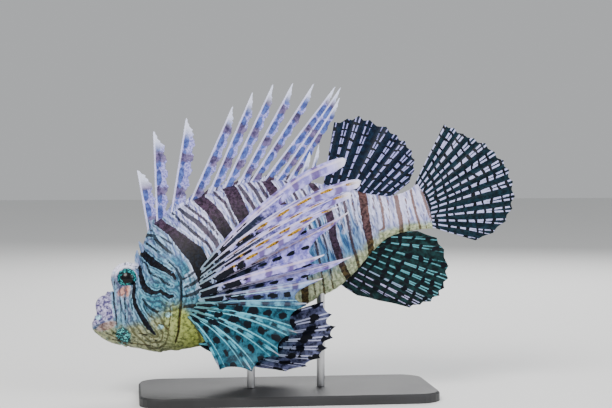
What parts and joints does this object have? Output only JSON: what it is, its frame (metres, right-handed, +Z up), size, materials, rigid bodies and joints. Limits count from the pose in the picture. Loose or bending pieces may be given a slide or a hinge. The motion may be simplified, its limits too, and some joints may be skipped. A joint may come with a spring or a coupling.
{
  "type": "red lionfish model",
  "caption": "Life-size red lionfish with long banded dorsal spines and fan-shaped fins, held still on a display stand.",
  "frame": {"origin": "middle of the underside of the stand's plate", "axes": "+Z up, the fish's head towards -X and its tail towards +X, its left side towards -Y"},
  "size_m": [0.2741, 0.1259, 0.2037],
  "materials": {
    "skin": "wet skin with small scales, pale blue-white and brown-purple bands, yellow-green below",
    "eye": "wet eye with a speckled teal iris and a black pupil",
    "spine": "satin spines with narrow skin flags, banded violet-brown",
    "fin": "thin wet membrane between pale rays with rows of dark dots",
    "long_fin": "thin wet membrane and pale banded rays with dark blotches",
    "stand_plate": "matt black plate",
    "stand_metal": "satin metal rod"
  },
  "bodies": {
    "root": {"head": "skin", "lower_jaw": "skin", "gill_cover_left": "skin", "gill_cover_right": "skin", "trunk": "skin", "tail_stalk": "skin", "eye_left": "eye", "eye_right": "eye", "spiny_dorsal_fin": "spine", "soft_dorsal_fin": "fin", "caudal_fin": "fin", "anal_fin": "fin", "pectoral_fin_left": "long_fin", "pectoral_fin_right": "long_fin", "pelvic_fin_left": "long_fin", "pelvic_fin_right": "long_fin", "stand_base": "stand_plate", "stand_rod_front": "stand_metal", "stand_rod_rear": "stand_metal"}
  },
  "joints": []
}
